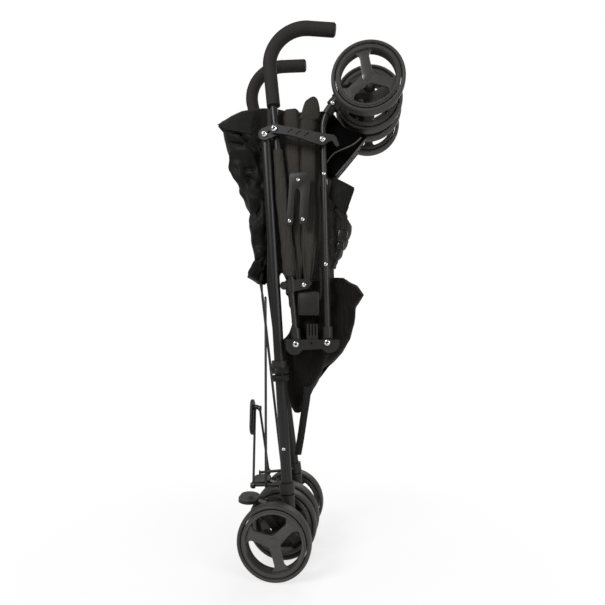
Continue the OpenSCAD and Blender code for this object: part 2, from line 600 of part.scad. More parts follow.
// Nodes
module side_node(n) {
    if (n == "rear_tube") rear_tube();
    if (n == "leg_foot") leg_foot_solid();
    if (n == "rear_axle") rear_axle_rod();
    if (n == "brace_brackets") brace_brackets();
    if (n == "rear_outer_rim") rear_outer_rim();
    if (n == "rear_outer_tyre") rear_outer_tyre();
    if (n == "rear_inner_rim") rear_inner_rim();
    if (n == "rear_inner_tyre") rear_inner_tyre();
    if (n == "brake_pedal") brake_pedal();
    if (n == "strut_rod") strut_rod(near_strut_back);
    if (n == "cross_bar") cross_bar(near_bar_back, 0);
    if (n == "push_tube") push_tube();
    if (n == "lower_rod") lower_rod();
    if (n == "grip") grip();
    if (n == "side_link") side_link();
    if (n == "seat_bracket") seat_bracket();
    if (n == "knuckle") knuckle();
    if (n == "front_tube") front_tube();
    if (n == "caster_socket") caster_socket();
    if (n == "caster_fork") caster_fork();
    if (n == "front_axle") front_axle_rod();
    if (n == "front_outer_rim") front_outer_rim();
    if (n == "front_outer_tyre") front_outer_tyre();
    if (n == "front_inner_rim") front_inner_rim();
    if (n == "front_inner_tyre") front_inner_tyre();
}
REAR_SET = ["rear_tube", "leg_foot", "rear_axle", "brace_brackets", "rear_outer_rim", "rear_outer_tyre",
    "rear_inner_rim", "rear_inner_tyre", "brake_pedal"];
PUSH_SET = ["push_tube", "lower_rod", "grip", "seat_bracket"];
PLAIN_SET = ["knuckle", "front_tube", "caster_socket", "caster_fork", "front_axle", "front_outer_rim",
    "front_outer_tyre", "front_inner_rim", "front_inner_tyre"];
function wanted(n) = node == "all" || node == n;
module far_link_place() translate([far_rear_bolt[0], 0, far_rear_bolt[1]])
    rotate([0, -(angle_of(far_link_bolt - far_rear_bolt) - link_rise), 0])
    translate([-rear_bolt[0], 0, -rear_bolt[1]]) mirror([0, 1, 0]) children();

NEAR_SET = concat(REAR_SET, PUSH_SET, PLAIN_SET, ["side_link", "strut_rod", "cross_bar"]);
for (n = NEAR_SET) if (wanted(str("near_", n))) side_node(n);
for (n = REAR_SET) if (wanted(str("far_", n))) far_rear() side_node(n);
for (n = PUSH_SET) if (wanted(str("far_", n))) far_push() side_node(n);
for (n = PLAIN_SET) if (wanted(str("far_", n))) far_plain() side_node(n);
if (wanted("far_side_link")) far_link_place() side_link(false);
// The far eyes are bored wider, because their pin leans with the far leg
if (wanted("far_strut_rod")) far_bars(far_strut_back) strut_rod(0, 0.8);
if (wanted("far_cross_bar")) far_bars(far_bar_back) cross_bar(0, 20, 0.8);
if (wanted("foot_plate")) foot_plate();
if (wanted("latch_arm")) latch_arm();
if (wanted("latch_stud")) latch_stud();
if (wanted("canopy")) canopy();
if (wanted("seat_back")) seat_back();
if (wanted("seat_bundle")) seat_bundle();
if (wanted("basket")) basket();
if (wanted("calf_panel")) calf_panel();

echo(points = [rear_axle, rear_bolt, link_bolt, rod_bolt, front_bolt, bend_end, front_axle, latch_pin,
        hook_tip, hook_centre, far_rear_bolt, far_link_bolt, brace_at, pedal_pin],
    lean = [far_leg_lean, stem_a, hook_from, strut_a, cross_a]);
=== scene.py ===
"""A folded umbrella stroller: finishes, cloth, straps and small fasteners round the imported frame."""
import json
import math

import bmesh
import bpy
from mathutils import Matrix, Vector, noise


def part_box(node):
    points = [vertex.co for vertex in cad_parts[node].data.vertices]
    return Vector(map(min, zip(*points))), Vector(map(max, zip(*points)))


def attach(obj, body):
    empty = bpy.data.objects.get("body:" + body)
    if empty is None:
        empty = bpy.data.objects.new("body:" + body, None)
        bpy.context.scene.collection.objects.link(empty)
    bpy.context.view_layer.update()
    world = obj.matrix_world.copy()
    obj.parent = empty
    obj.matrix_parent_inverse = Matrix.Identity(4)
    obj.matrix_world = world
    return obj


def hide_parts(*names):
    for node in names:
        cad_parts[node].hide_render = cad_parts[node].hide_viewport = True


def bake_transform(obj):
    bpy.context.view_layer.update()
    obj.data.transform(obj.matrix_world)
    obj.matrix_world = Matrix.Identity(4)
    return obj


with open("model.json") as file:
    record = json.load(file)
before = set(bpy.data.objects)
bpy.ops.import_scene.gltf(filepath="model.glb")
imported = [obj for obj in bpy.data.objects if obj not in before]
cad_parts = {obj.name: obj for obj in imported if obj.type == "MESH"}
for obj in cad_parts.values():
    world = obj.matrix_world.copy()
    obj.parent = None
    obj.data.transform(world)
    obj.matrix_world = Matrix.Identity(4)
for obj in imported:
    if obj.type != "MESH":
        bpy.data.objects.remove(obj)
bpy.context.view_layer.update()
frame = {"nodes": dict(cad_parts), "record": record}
MM = 0.001


def mm(x, y, z):
    return Vector((x, y, z)) * MM


# Camera, on the near side at about the height of the knuckles
camera = bpy.data.objects.new("camera", bpy.data.cameras.new("camera"))
bpy.context.collection.objects.link(camera)
camera.data.lens = 28.15
camera.data.sensor_width = 36
camera.data.clip_start = 0.02
camera.location = mm(180.8, -1000.8, 473.5)
camera.rotation_euler = Vector((-0.1411, 0.9887, 0.0512)).to_track_quat("-Z", "Y").to_euler()
bpy.context.scene.camera = camera
bpy.context.scene.view_settings.view_transform = "Standard"


# Materials


def colour(code):
    """A written sRGB colour as the linear one that a shader takes."""
    parts = [int(code[i:i + 2], 16) / 255 for i in (1, 3, 5)]
    return [c / 12.92 if c <= 0.04045 else ((c + 0.055) / 1.055) ** 2.4 for c in parts] + [1.0]


def add(tree, kind, inputs=(), **settings):
    """Adds a node: settings are its properties, inputs its sockets with a value or a link."""
    made = tree.nodes.new(kind)
    for key, value in settings.items():
        setattr(made, key, value)
    for key, value in dict(inputs).items():
        if isinstance(value, bpy.types.NodeSocket):
            tree.links.new(value, made.inputs[key])
        else:
            made.inputs[key].default_value = value
    return made


def blank(name):
    """A new material with its shader and the Object coordinates that every pattern reads."""
    made = bpy.data.materials.new(name)
    made.use_nodes = True
    tree = made.node_tree
    return made, tree, tree.nodes["Principled BSDF"], add(tree, "ShaderNodeTexCoord").outputs["Object"]


def period(size_mm):
    """Scale that gives a Noise texture lumps of about this size."""
    return 1000 / size_mm


def bands(size_mm):
    """Scale that gives a Wave texture bands of this spacing, since 20 of its units are a full turn."""
    return 2 * math.pi / 20 * 1000 / size_mm


def speckle(tree, place, size_mm, **inputs):
    """Noise with lumps of about this size."""
    made = add(tree, "ShaderNodeTexNoise", {"Vector": place, "Scale": period(size_mm), **inputs})
    return made.outputs["Fac"]


def threads(tree, place, spacing, axis):
    """Slightly uneven threads that lie side by side along an axis."""
    made = add(tree, "ShaderNodeTexWave", {"Vector": place, "Scale": bands(spacing), "Distortion": 0.6},
               bands_direction=axis)
    return made.outputs["Fac"]


def times(tree, a, b):
    return add(tree, "ShaderNodeMath", {0: a, 1: b}, operation="MULTIPLY").outputs[0]


def tint(tree, share, dark, light):
    """The colour that lies at this share between two written ones."""
    made = add(tree, "ShaderNodeMix", {0: share, 6: colour(dark), 7: colour(light)}, data_type="RGBA")
    return made.outputs[2]


def relief(tree, height, strength, depth, **inputs):
    """The normal of a surface that a height raises by up to this depth in mm."""
    raised = {"Height": height, "Strength": strength, "Distance": depth * MM, **inputs}
    return add(tree, "ShaderNodeBump", raised).outputs["Normal"]


def solid_finish(name, dark, light, rough, patch, grain, depth, **shader_values):
    """A hard surface: two close colours in patches, rubbed roughness and a fine grain."""
    made, tree, shader, place = blank(name)
    patches = speckle(tree, place, patch, Detail=4.0, Roughness=0.6)
    wear = add(tree, "ShaderNodeMapRange", {"Value": patches, "To Min": rough - 0.06, "To Max": rough + 0.08})
    grit = speckle(tree, place, grain, Detail=2.0)
    tree.links.new(tint(tree, patches, dark, light), shader.inputs["Base Color"])
    tree.links.new(wear.outputs["Result"], shader.inputs["Roughness"])
    tree.links.new(relief(tree, grit, 0.5, depth), shader.inputs["Normal"])
    for key, value in shader_values.items():
        shader.inputs[key.replace("_", " ")].default_value = value
    return made


def woven_finish(name, dark, light, rough, thread, depth, crease, sheen, gloss=0.2):
    """Cloth: crossing threads, a slight cloud of colour and soft creases.

    The threads are drawn coarser than life, because real ones are finer than a pixel here.
    """
    made, tree, shader, place = blank(name)
    turned = add(tree, "ShaderNodeMapping", {"Vector": place, "Rotation": (0.0, 0.0, math.radians(38))})
    weft = threads(tree, place, thread, "Z")
    warp = threads(tree, turned.outputs["Vector"], thread, "X")
    cross = times(tree, weft, warp)
    cloud = speckle(tree, place, 45, Detail=5.0, Roughness=0.65)
    rumple = speckle(tree, place, crease, Detail=3.0, Distortion=0.8)
    woven = relief(tree, cross, 0.55, depth)
    tree.links.new(tint(tree, times(tree, cross, cloud), dark, light), shader.inputs["Base Color"])
    tree.links.new(relief(tree, rumple, 0.45, 3, Normal=woven), shader.inputs["Normal"])
    shader.inputs["Roughness"].default_value = rough
    shader.inputs["Sheen Weight"].default_value = sheen
    shader.inputs["Sheen Roughness"].default_value = 0.45
    shader.inputs["Specular IOR Level"].default_value = gloss
    return made


# Powder-coated steel tube: satin, with a faint orange peel
coated_tube = solid_finish("powder_coated_tube", "#0d0c0c", "#161514", 0.38, 60, 1.6, 0.05,
                           Specular_IOR_Level=0.35)
# Flat oval tube: the same coat, a shade greyer and smoother
oval_tube = solid_finish("satin_oval_tube", "#1c1b1a", "#282725", 0.36, 50, 1.6, 0.04,
                         Specular_IOR_Level=0.35)
# Glass-filled nylon, spark-eroded mould: fine matt grain
nylon = solid_finish("moulded_nylon", "#161514", "#211f1e", 0.42, 25, 1.2, 0.12, Specular_IOR_Level=0.32)
# ABS wheel rim from a polished mould
abs_rim = solid_finish("abs_rim", "#2c2b29", "#3a3836", 0.3, 30, 3.0, 0.03, Coat_Weight=0.15)
# Closed-cell EVA tyre: dull, with tiny pores
eva_tyre = solid_finish("eva_tyre", "#2b2927", "#373432", 0.55, 18, 1.8, 0.2, Specular_IOR_Level=0.4)
# Nitrile foam grip: dull and porous
foam_grip = solid_finish("nitrile_foam", "#191716", "#252221", 0.8, 22, 2.2, 0.35, Specular_IOR_Level=0.3)
# Zinc-plated steel: bright and a little brushed
zinc = solid_finish("zinc_plate", "#b9bcc0", "#dfe1e4", 0.2, 6, 1.0, 0.03, Metallic=1.0)
# Glossy acetal for buckles
acetal = solid_finish("acetal_buckle", "#0f0e0e", "#1a1918", 0.22, 12, 2.5, 0.03)
# Thin proofed polyester of the canopy: soft sheen and many creases
canopy_cloth = woven_finish("proofed_polyester", "#0c0b0a", "#1c1a18", 0.55, 4.5, 0.25, 22, 0.06, 0.12)
# Padded polyester of the seat
seat_cloth = woven_finish("padded_polyester", "#272420", "#433e38", 0.7, 4.0, 0.3, 34, 0.08)
# Warp-knit mesh of the basket, brownish black
basket_mesh = woven_finish("warp_knit_mesh", "#0b0908", "#261f1b", 0.72, 4.2, 0.4, 30, 0.05, 0.08)
# Proofed nylon of the calf panel: close woven black cloth. Its colour is painted darker still, carrying the
# shade that falls between the front legs and wheels
calf_cloth_painted_shade = woven_finish("proofed_nylon_painted_shade", "#020202", "#070606", 0.6, 4.0, 0.2, 40, 0.0, 0.02)
# Polypropylene webbing: ribbed
webbing = woven_finish("webbing", "#0d0c0b", "#1d1b19", 0.62, 3.2, 0.4, 60, 0.06)
# Pale piping
piping_cloth = woven_finish("piping", "#454341", "#63605c", 0.6, 2.6, 0.2, 40, 0.1)

SLOT_FINISH = {
    "frame_tube": coated_tube, "oval_tube": oval_tube, "plastic": nylon, "rim": abs_rim, "tyre": eva_tyre,
    "foam": foam_grip, "steel": zinc, "canopy_cloth": canopy_cloth, "seat_cloth": seat_cloth,
    "basket_mesh": basket_mesh,
}
for entry in frame["record"]["subparts"]:
    cad = frame["nodes"][entry["node"]]
    cad.data.materials.clear()
    cad.data.materials.append(SLOT_FINISH[entry["material_slot"]])
    for face in cad.data.polygons:
        face.material_index = 0


# Mesh helpers
CLOTH_T = 1.4
WEBBING_T = 1.6


def piece(name, bm, finish, body=None, wall=0.0, rounds=0, smooth=True):
    """Turns a bmesh into a named piece at the origin."""
    bmesh.ops.recalc_face_normals(bm, faces=bm.faces)
    mesh = bpy.data.meshes.new(name)
    bm.to_mesh(mesh)
    bm.free()
    mesh.polygons.foreach_set("use_smooth", [True] * len(mesh.polygons))
    if not smooth:
        mesh.set_sharp_from_angle(angle=math.radians(32))
    mesh.materials.append(finish)
    made = bpy.data.objects.new(name, mesh)
    bpy.context.collection.objects.link(made)
    if wall:
        thick = made.modifiers.new("wall", "SOLIDIFY")
        thick.thickness = wall
        thick.offset = 0
    if rounds:
        soft = made.modifiers.new("round", "SUBSURF")
        soft.levels = soft.render_levels = rounds
    if body:
        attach(made, body)
    return made


def surface(shape, across, along, closed=False, ends=False):
    """A grid laid on shape(u, t), with u and t from 0 to 1.

    closed joins the two edges of u, and ends fills both mouths.
    """
    bm = bmesh.new()
    bmesh.ops.create_grid(bm, x_segments=across, y_segments=along, size=0.5)
    for v in bm.verts:
        v.co = shape(v.co.x + 0.5, v.co.y + 0.5)
    if closed:
        bmesh.ops.remove_doubles(bm, verts=bm.verts, dist=1e-6)
    if ends:
        bmesh.ops.holes_fill(bm, edges=bm.edges, sides=0)
        bmesh.ops.triangulate(bm, faces=[f for f in bm.faces if len(f.verts) > 4])
    return bm


def smooth_path(points, steps=6, closed=False):
    """Points on a smooth curve through the given ones."""
    before, after = (points[-1], points[:2]) if closed else (points[0], points[-1:])
    padded = [before, *points, *after]
    path = []
    for a, b, c, d in zip(padded, padded[1:], padded[2:], padded[3:]):
        for k in range(steps):
            s = k / steps
            bend = 2 * a - 5 * b + 4 * c - d
            path.append(0.5 * (2 * b + (c - a) * s + bend * s * s + (3 * b - a - 3 * c + d) * s ** 3))
    return path if closed else path + [points[-1]]


def strap(name, points, width, side):
    """A flat ribbon of webbing along the points, on the near push frame, its width along side."""
    path = smooth_path([mm(*point) for point in points])
    last = len(path) - 1
    edge = Vector(side).normalized() * width * MM / 2
    bm = surface(lambda u, t: path[round(t * last)] + edge * (2 * u - 1), 2, last)
    piece(name, bm, webbing, "near_push_frame", wall=WEBBING_T * MM)


def cable(name, points, radius, finish, body):
    """A round rod or roll of piping along the points."""
    data = bpy.data.curves.new(name, "CURVE")
    data.dimensions = "3D"
    data.bevel_depth = radius * MM
    data.bevel_resolution = 3
    data.use_fill_caps = True
    path = smooth_path(points, 5)
    line = data.splines.new("POLY")
    line.points.add(len(path) - 1)
    for spot, at in zip(line.points, path):
        spot.co = (*at, 1)
    drawn = bpy.data.objects.new(name, data)
    bm = bmesh.new()
    bm.from_mesh(drawn.to_mesh())
    bpy.data.objects.remove(drawn)
    bmesh.ops.remove_doubles(bm, verts=bm.verts, dist=1e-6)
    piece(name, bm, finish, body)


def round_edges(bm, edges, by, segments=3):
    """Rounds the edges, and gives the faces that this makes."""
    return bmesh.ops.bevel(bm, geom=edges, offset=by * MM, segments=segments, profile=0.5, affect="EDGES",
                           material=-1)["faces"]


def block(bm, centre, size, round_by, turn=0.0):
    """Adds a box with rounded edges, turned about Y."""
    made = bmesh.ops.create_cube(bm, size=1)["verts"]
    bmesh.ops.scale(bm, vec=Vector(size) * MM, verts=made)
    soft = round_edges(bm, list({e for v in made for e in v.link_edges}), round_by)
    verts = list({v for f in soft for v in f.verts} | {v for v in made if v.is_valid})
    turned = Matrix.Rotation(math.radians(turn), 3, "Y")
    bmesh.ops.rotate(bm, cent=(0, 0, 0), matrix=turned, verts=verts)
    bmesh.ops.translate(bm, vec=mm(*centre), verts=verts)


def screw(bm, x, y, z, radius, height, outward=-1):
    """Adds a domed screw head with a round socket, facing along Y."""
    made = bmesh.ops.create_circle(bm, segments=24, radius=radius * MM, cap_ends=True)["verts"]
    face = [f for v in made for f in v.link_faces][0]
    for share, rise in ((1.0, 0.45), (0.86, 0.3), (0.6, 0.2), (0.42, 0.05)):
        grown = bmesh.ops.extrude_discrete_faces(bm, faces=[face])["faces"][0]
        middle = grown.calc_center_median()
        widest = max((v.co - middle).length for v in grown.verts)
        bmesh.ops.scale(bm, vec=Vector((1, 1, 1)) * share * radius * MM / widest, verts=grown.verts,
                        space=Matrix.Translation(-middle))
        bmesh.ops.translate(bm, vec=(0, 0, rise * height * MM), verts=grown.verts)
        made += list(grown.verts)
        face = grown
    sunk = bmesh.ops.extrude_discrete_faces(bm, faces=[face])["faces"][0]
    bmesh.ops.translate(bm, vec=(0, 0, -0.7 * height * MM), verts=sunk.verts)
    made += list(sunk.verts)
    verts = [v for v in made if v.is_valid]
    facing = Matrix.Rotation(math.radians(-90 * outward), 3, "X")
    bmesh.ops.rotate(bm, cent=(0, 0, 0), matrix=facing, verts=verts)
    bmesh.ops.translate(bm, vec=mm(x, y, z), verts=verts)


def ease(s):
    return s * s * (3 - 2 * s)


def ramp(s):
    """0 up to 0 and 1 from 1 on, smooth between them."""
    return ease(min(1.0, max(0.0, s)))


def boxy(c, power):
    """A sine or cosine drawn out towards a box, the more so the smaller the power."""
    return math.copysign(abs(c) ** power, c)


def between(rows, t):
    """The row of numbers at t, 0 to 1, along the rows, smoothly."""
    f = min(t, 0.9999) * (len(rows) - 1)
    i = int(f)
    s = ease(f - i)
    return [a * (1 - s) + b * s for a, b in zip(rows[i], rows[i + 1])]


def on_ring(ring, c, s, deep, wide):
    """x and y on a boxy ring of low x, high x, near y and far y, at a turn with this cosine and sine."""
    x0, x1, y0, y1 = ring
    return (x0 + x1) / 2 + (x1 - x0) / 2 * boxy(c, deep), (y0 + y1) / 2 + (y1 - y0) / 2 * boxy(s, wide)


def wobble(at, size_mm, seed):
    """Smooth noise from -1 to 1, with lumps of about this size."""
    return noise.noise(at * (1000 / size_mm) + Vector((seed, 0, 0)))


def crumple(at, size_mm, seed, turn, stretch):
    """Sharp creases, 1 on a crease and 0 beside it, drawn out along a line turned in the side view."""
    c, s = math.cos(math.radians(turn)), math.sin(math.radians(turn))
    warp = 0.25 * size_mm * MM * wobble(at, 1.7 * size_mm, seed + 7)
    along, across = at.x * c + at.z * s, at.z * c - at.x * s + warp
    flat = Vector((along / stretch, at.y, across)) * (1000 / size_mm) + Vector((seed, seed, 0))
    return max(0.0, 1 - 2.4 * abs(noise.noise(flat)))


def groove(at, x0, z0, x1, z1, width):
    """1 on a fold line drawn in the side view, falling to 0 beside it and past its ends."""
    run, rise = (x1 - x0) * MM, (z1 - z0) * MM
    span = run * run + rise * rise
    t = ((at.x - x0 * MM) * run + (at.z - z0 * MM) * rise) / span
    off = ((at.z - z0 * MM) * run - (at.x - x0 * MM) * rise) / math.sqrt(span)
    past = max(0.0, -t, t - 1) * math.sqrt(span)
    return math.exp(-(off / (width * MM)) ** 2 - (past / (1.5 * width * MM)) ** 2)


def prism(bm, outline, y0, y1):
    """Adds a plate with this side-view outline, from y0 to y1, and gives the edges of both faces."""
    face = bm.faces.new([bm.verts.new(mm(x, y0, z)) for x, z in outline])
    grown = bmesh.ops.extrude_face_region(bm, geom=[face], use_keep_orig=True)["geom"]
    moved = [g for g in grown if isinstance(g, bmesh.types.BMVert)]
    bmesh.ops.translate(bm, vec=mm(0, y1 - y0, 0), verts=moved)
    return list(face.edges) + [g for g in grown if isinstance(g, bmesh.types.BMEdge)]


def slab(outline, y0, y1, round_by=1.2, bm=None):
    """A plate with a smooth side-view outline, from y0 to y1, with rounded rims."""
    bm = bm or bmesh.new()
    ring = smooth_path([Vector(point) for point in outline], 4, closed=True)
    round_edges(bm, prism(bm, ring, y0, y1), round_by)
    return bm


def lathe(bm, profile, closed=True):
    """Adds a shape turned about Y through the origin. The profile holds radius and place along Y."""
    chain = [bm.verts.new(mm(r, w, 0)) for r, w in profile]
    links = [bm.edges.new(pair) for pair in zip(chain, chain[1:])]
    if closed:
        links.append(bm.edges.new((chain[-1], chain[0])))
    bmesh.ops.spin(bm, geom=chain + links, cent=(0, 0, 0), axis=(0, 1, 0), angle=2 * math.pi, steps=72,
                   use_merge=True)


# Wheels: a foam tyre round a moulded rim, whose three spokes widen into the hub and into the ring
TREAD_R, SEAT_R, WINDOW_R = 71, 62.5, 53
TYRE_W, TYRE_SIDES = 26.8, 28
# Degrees from +X, where a spoke stands at rest: the near outer wheel's, then the other wheels'
SPOKE_AT = {"rear": (45, 70), "front": (100, 30)}
SPOKE = [(14, 50), (19, 32), (26, 21.5), (34, 16), (44, 13), (54, 17)]  # radius, degrees from its middle line
RING = [(WINDOW_R, -11), (WINDOW_R, 9.5), (54.5, 12), (58.2, 12), (58.8, 10.8), (SEAT_R - 1.2, 10.8),
        (SEAT_R - 0.6, 10), (SEAT_R - 0.6, -10), (60, -12), (54.5, -12)]
HUB = [(0, 8.2), (9, 8.2), (11, 7.4), (12, 5.5), (12, -13), (5, -13)]


def tyre_profile():
    turns = [2 * math.pi * k / TYRE_SIDES for k in range(TYRE_SIDES)]
    middle, half = (TREAD_R + SEAT_R) / 2, (TREAD_R - SEAT_R) / 2
    return [(middle + half * boxy(math.cos(a), 0.95), TYRE_W / 2 * boxy(math.sin(a), 0.7)) for a in turns]


def web_outline(spoke_at):
    """Outline of the three spokes and the plate that joins them, about the axle."""
    outline = []
    for spoke in (spoke_at, spoke_at + 120, spoke_at + 240):
        for r, off in [(r, -a) for r, a in SPOKE] + SPOKE[::-1]:
            way = math.radians(spoke + off)
            outline.append((r * math.cos(way), r * math.sin(way)))
    return outline


def wheel(side, end, place):
    """Makes the rim and the tyre of one wheel, where its CAD tyre stands."""
    name = f"{side}_{end}_{place}"
    low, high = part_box(f"{name}_tyre")
    centre = (Vector(low) + Vector(high)) / 2
    outward = (-1 if side == "near" else 1) * (1 if place == "outer" else -1)
    moulding, foam = bmesh.new(), bmesh.new()
    lathe(moulding, [(r, outward * w) for r, w in RING])
    lathe(moulding, [(r, outward * w) for r, w in HUB], closed=False)
    spoke_at = SPOKE_AT[end][0 if (side, place) == ("near", "outer") else 1]
    slab(web_outline(spoke_at), 1.5 * outward, 7.5 * outward, round_by=0.8, bm=moulding)
    lathe(foam, tyre_profile())
    for bm, part, finish in ((moulding, "rim", abs_rim), (foam, "tyre", eva_tyre)):
        bmesh.ops.remove_doubles(bm, verts=bm.verts, dist=1e-6)
        bmesh.ops.translate(bm, vec=centre, verts=bm.verts)
        made = piece(f"{name}_{part}_form", bm, finish, f"{name}_wheel", smooth=False)
        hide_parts(f"{name}_{part}")


for side in ("near", "far"):
    for end in ("rear", "front"):
        for place in ("outer", "inner"):
            wheel(side, end, place)

# Screw heads and rivet caps
SCREWS = {
    # body: x, y, z, radius, height
    "near_rear_leg": [(11.5, -75.3, 234, 3.6, 2.2)],
    "near_push_frame": [(-28.6, -79.8, 864.4, 6.3, 4.0), (-7.5, -85.6, 872.1, 6.3, 4.0),
                        (51.5, -74.9, 556.3, 4.6, 2.6)],
    "latch": [(90.3, -85.2, 844.7, 6.3, 4.0)],
    "near_knuckle": [(36.1, -80.1, 439.3, 6.3, 4.0), (98.0, -80.1, 442.7, 6.3, 4.0)],
    "near_front_leg": [(91.6, -74.3, 779, 3.8, 2.2), (95.0, -74.3, 597, 3.8, 2.2),
                       (110, -79.2, 920, 4.4, 2.6)],
    "far_rear_leg": [(5, 75.3, 234, 3.6, 2.2)],
    "far_side_link": [(-82.2, 79.8, 860.6, 6.3, 4.0), (-59.9, 79.8, 863.5, 6.3, 4.0)],
    "far_knuckle": [(36.1, 80.1, 439.3, 6.3, 4.0), (98.0, 80.1, 442.7, 6.3, 4.0)],
    "far_front_leg": [(91.6, 74.3, 779, 3.8, 2.2), (95.0, 74.3, 597, 3.8, 2.2),
                      (110, 79.2, 920, 4.4, 2.6)],
}
for body, heads in SCREWS.items():
    bm = bmesh.new()
    for head in heads:
        screw(bm, *head, outward=-1 if head[1] < 0 else 1)
    piece(f"{body}_screws", bm, zinc, body)


# Canopy, folded back behind the push frame: a sheet crumpled round its folded bows, under a turned-over flap
HOOD = [  # z, low x, high x, near y, far y
    (566, -62, -40, -20, 20), (580, -83, -32, -40, 40), (598, -77, -28, -44, 44),
    (615, -66, -27, -45, 45), (645, -74, -26, -46, 46), (690, -79, -25, -46, 46),
    (722, -82, -24, -46, 46), (757, -98, -23, -46, 46), (792, -115, -22, -47, 46),
    (812, -126, -21, -48, 46), (832, -122, -20, -52, 46), (860, -130, -18, -57, 46),
    (884, -134, -15, -58, 46), (902, -136, -14, -57, 45), (918, -150, -14, -50, 44),
    (930, -140, -20, -40, 40)]
# Folds of its walls: x0, z0, x1, z1, depth, half width
HOOD_FOLDS = [(-109, 897, -92, 883, 9, 3), (-92, 883, -73, 864, 13, 3.2), (-73, 864, -44, 836, 14, 3.6),
              (-104, 883, -89, 879, 9, 2.6), (-114, 866, -84, 858, 12, 3.6), (-80, 809, -60, 810, 6, 4),
              (-83, 794, -67, 790, 7, 3), (-84, 778, -71, 778, 6, 3), (-60, 780, -40, 774, 7, 3),
              (-54, 732, -43, 736, 7, 3), (-52, 713, -45, 725, 9, 3), (-56, 657, -36, 654, 6, 3),
              (-52, 615, -32, 624, 7, 2.6), (-49, 580, -32, 594, 7, 3)]


def hood_cloth(u, t):
    """The wall of the hood, open to the front, crumpled and sunk along its folds."""
    z, *ring = between(HOOD, t)
    a = math.radians(-38 - 284 * u)
    c, s = math.cos(a), math.sin(a)
    x, y = on_ring(ring, c, s, 0.75, 0.75)
    near = ramp((-y - 5) / 45)
    # on the near side the rim drops to the front, and curls in under the flap
    drop = near * ramp((z - 850) / 80) * (18 + 46 * max(0.0, (x + 110) / 80) ** 1.7)
    curl = 14 * near * ramp((t - 0.93) / 0.07)
    at = mm(x, y, z - drop)
    slack = ramp((905 - z) / 70)
    ruck = 8 * crumple(at, 50, 3, 35, 1.9) + 5 * crumple(at, 25, 12, -25, 1.6)
    sunk = sum(deep * groove(at, *line, width) for *line, deep, width in HOOD_FOLDS)
    inward = 2 + (0.1 + 0.9 * slack) * (11 - ruck) + curl + sunk + 2.5 * wobble(at, 60, 9)
    return at - Vector((c, s, 0)) * MM * inward


canopy = piece("canopy_sheet", surface(hood_cloth, 92, 96), canopy_cloth,
               wall=CLOTH_T * MM, rounds=1)
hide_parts("canopy")

FLAP = [  # x, near y, z of the near edge, z of the top, far y
    (-147, -22, 918, 922, 18), (-136, -44, 904, 928, 32), (-117, -55, 891, 938, 40), (-93, -58, 884, 946, 42),
    (-64, -58, 876, 950, 44), (-46, -54, 846, 951, 44), (-24, -51, 840, 950, 44)]


def flap_cloth(u, t):
    """The hood's front edge turned over its top, up from the near edge and flat to the far one."""
    x, y0, edge, top, y1 = between(FLAP, u)
    at = mm(x, y0 + (y1 - y0) * t, top - (top - edge) * max(0.0, 1 - t / 0.42) ** 1.5)
    return at + mm(0, 0, 1.6 * wobble(at, 45, 27) - 2.2 * crumple(at, 40, 6, 15, 2.0))


canopy_flap = piece("canopy_flap", surface(flap_cloth, 40, 36), canopy_cloth,
                    wall=CLOTH_T * MM, rounds=1)
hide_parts("canopy")

# Seat pads: two upright channels with a seam between them, swollen by a short cloth simulation
PUFF_PRESSURE, PUFF_FRAMES = 4.0, 18
PUFF_CAP = 4  # mm that a point may move
PAD_FAR_Y = 45
REAR_PAD = [  # z, low x, high x, near y
    (564, 35, 47, -64), (640, 27, 41, -64), (700, 20, 40.4, -62), (760, 13, 40.4, -62),
    (820, 7, 40.4, -62), (880, 6, 40.4, -62), (926, 6, 40.4, -60)]
FRONT_PAD = [
    (564, 47.6, 66, -64), (640, 41.6, 74, -64), (700, 39.6, 77, -62), (760, 39.6, 78, -62),
    (820, 39.6, 78, -62), (880, 39.6, 77, -62), (932, 40, 77, -58)]


def swell(obj):
    """Puffs a closed mesh with cloth pressure, and keeps every point within the cap of where it began."""
    scene = bpy.context.scene
    start = [v.co.copy() for v in obj.data.vertices]
    cloth = obj.modifiers.new("puff", "CLOTH")
    cloth.settings.use_pressure = True
    cloth.settings.uniform_pressure_force = PUFF_PRESSURE
    cloth.settings.quality = 5
    cloth.settings.effector_weights.gravity = 0
    cloth.point_cache.frame_start = 1
    cloth.point_cache.frame_end = PUFF_FRAMES
    for f in range(1, PUFF_FRAMES + 1):
        scene.frame_set(f)
    shown = obj.evaluated_get(bpy.context.evaluated_depsgraph_get())
    moved = [v.co.copy() for v in shown.data.vertices]
    obj.modifiers.remove(cloth)
    scene.frame_set(1)
    for v, a, b in zip(obj.data.vertices, start, moved):
        step = b - a
        v.co = a + step * min(1.0, PUFF_CAP * MM / max(step.length, 1e-9))


def pad(name, rows, seams, seed, tilt=0.0):
    """A stuffed channel, pinched at its seams and pleated at its foot. tilt lifts the front of its top."""

    def body_of_pad(u, t):
        a = 2 * math.pi * u
        c, s = math.cos(a), math.sin(a)
        z, x0, x1, y0 = between(rows, t)
        taper = min(1.0, 0.82 + 4 * (1 - t))
        pinch = 1 - sum(0.16 * math.exp(-((z - h) / 6) ** 2) for h in seams)
        deep = (x1 - x0) / 2 * taper * pinch * boxy(c, 0.36)
        wide = (PAD_FAR_Y - y0) / 2 * (0.92 + 0.08 * taper) * boxy(s, 0.4)
        lift = tilt * deep * ramp((t - 0.85) / 0.15)
        at = mm((x0 + x1) / 2 + deep, (y0 + PAD_FAR_Y) / 2 + wide, z + lift)
        gather = ramp((700 - z) / 110)
        pleat = abs(math.sin(math.pi * (11 * u + 0.35 * wobble(at, 70, seed + 3)))) ** 0.6
        return at + Vector((c, s, 0)) * MM * (1.8 * wobble(at, 48, seed) - 6 * gather * (1 - pleat))

    made = piece(name, surface(body_of_pad, 64, 80, closed=True, ends=True), seat_cloth)
    swell(made)
    soft = made.modifiers.new("round", "SUBSURF")
    soft.levels = soft.render_levels = 1
    return made


